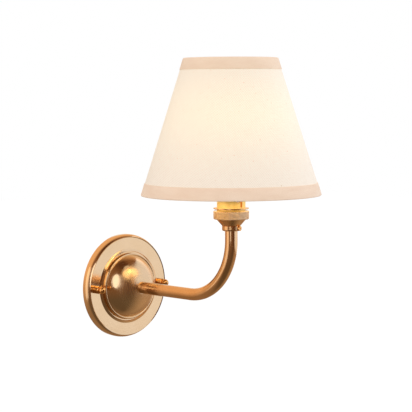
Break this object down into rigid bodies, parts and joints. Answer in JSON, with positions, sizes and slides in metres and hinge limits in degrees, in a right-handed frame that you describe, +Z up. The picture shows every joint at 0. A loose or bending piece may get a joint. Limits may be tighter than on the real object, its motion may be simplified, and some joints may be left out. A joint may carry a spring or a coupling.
{
  "type": "fabric shade wall light",
  "caption": "Swan-neck wall light: round domed backplate, bent tube arm, bayonet lampholder and a tapered fabric shade on a threaded barrel.",
  "frame": {"origin": "centre of the backplate on the wall plane, midway between the two wall screw slots", "axes": "+Z up, -Y out of the wall into the room, +X to the right of a viewer who faces the wall"},
  "size_m": [0.1796, 0.2558, 0.296],
  "materials": {
    "spun_brass": "satin lacquered, circular spinning lines",
    "drawn_brass": "satin lacquered, brushed along the tube",
    "brushed_brass": "fine upright brushing",
    "turned_brass": "turned, lacquered",
    "polished_brass": "polished, lacquered",
    "plain_brass": "as machined",
    "zinc_steel": "zinc plated",
    "spring_steel": "bright wire",
    "white_nylon": "moulded",
    "cream_ceramic": "unglazed, pressed",
    "black_vitrite": "glassy",
    "lamp_cap_metal": "nickel plated",
    "pearl_glass": "frosted inside",
    "clear_glass": "clear",
    "filament": "phosphor coated",
    "brown_core": "insulated core",
    "blue_core": "insulated core",
    "green_core": "insulated core, green and yellow",
    "shade_linen": "plain weave linen look",
    "shade_lining": "matt white laminate",
    "shade_tape": "folded self-colour tape",
    "coated_wire": "white powder coat"
  },
  "bodies": {
    "fixture": {"wall_bracket": "zinc_steel", "bracket_studs": "zinc_steel", "terminal_block": "white_nylon", "terminal_inserts": "plain_brass", "terminal_clamp_screws": "zinc_steel", "block_fixing_screw": "zinc_steel", "backplate": "spun_brass", "arm_tube": "drawn_brass", "arm_nipple": "plain_brass", "arm_washer": "zinc_steel", "arm_lock_nut": "plain_brass", "holder_nipple": "plain_brass", "lampholder_cap": "turned_brass", "grub_screw": "polished_brass", "cap_ring": "brushed_brass", "lampholder_barrel": "turned_brass", "holder_insulator": "cream_ceramic", "contact_posts": "plain_brass", "plunger_springs": "spring_steel", "holder_terminal_screws": "plain_brass", "earth_post": "plain_brass", "live_wire": "brown_core", "neutral_wire": "blue_core", "earth_wire": "green_core"},
    "left_finial": {"left_finial_nut": "polished_brass"},
    "right_finial": {"right_finial_nut": "polished_brass"},
    "foot_ring": {"foot_shade_ring": "brushed_brass"},
    "lower_ring": {"lower_shade_ring": "brushed_brass"},
    "upper_ring": {"upper_shade_ring": "brushed_brass"},
    "plungers": {"contact_plungers": "plain_brass"},
    "lamp": {"lamp_cap": "lamp_cap_metal", "lamp_pins": "lamp_cap_metal", "lamp_insulator": "black_vitrite", "lamp_contacts": "lamp_cap_metal", "lamp_glass": "pearl_glass", "lamp_stem": "clear_glass", "lamp_filaments": "filament"},
    "shade": {"shade_fabric": "shade_linen", "shade_liner": "shade_lining", "top_ring_wire": "coated_wire", "bottom_ring_wire": "coated_wire", "shade_carrier": "coated_wire", "carrier_spokes": "coated_wire", "top_tape": "shade_tape", "bottom_tape": "shade_tape"}
  },
  "joints": [
    {"name": "shade_turn", "type": "hinge", "parent": "fixture", "child": "shade", "pos_m": [0, -0.166, 0.102], "axis": [0, 0, 1], "continuous": true},
    {"name": "upper_ring_turn", "type": "hinge", "parent": "fixture", "child": "upper_ring", "pos_m": [0, -0.166, 0.1035], "axis": [0, 0, 1], "continuous": true},
    {"name": "lower_ring_turn", "type": "hinge", "parent": "fixture", "child": "lower_ring", "pos_m": [0, -0.166, 0.1008], "axis": [0, 0, 1], "continuous": true},
    {"name": "foot_ring_turn", "type": "hinge", "parent": "fixture", "child": "foot_ring", "pos_m": [0, -0.166, 0.0916], "axis": [0, 0, 1], "continuous": true},
    {"name": "left_finial_turn", "type": "hinge", "parent": "fixture", "child": "left_finial", "pos_m": [-0.0444, -0.012, 0], "axis": [0, -1, 0], "continuous": true},
    {"name": "right_finial_turn", "type": "hinge", "parent": "fixture", "child": "right_finial", "pos_m": [0.0444, -0.012, 0], "axis": [0, -1, 0], "continuous": true},
    {"name": "lamp_push", "type": "slide", "parent": "fixture", "child": "lamp", "axis": [0, 0, 1], "range_m": [-0.002, 0], "stiffness_N_per_m": 1500, "springref_m": 0.002},
    {"name": "plunger_slide", "type": "slide", "parent": "fixture", "child": "plungers", "axis": [0, 0, 1], "range_m": [-0.002, 0], "deforming": ["plunger_springs"]}
  ],
  "couplings": [
    {"joint": "plunger_slide", "follows": "lamp_push", "ratio": 1}
  ]
}
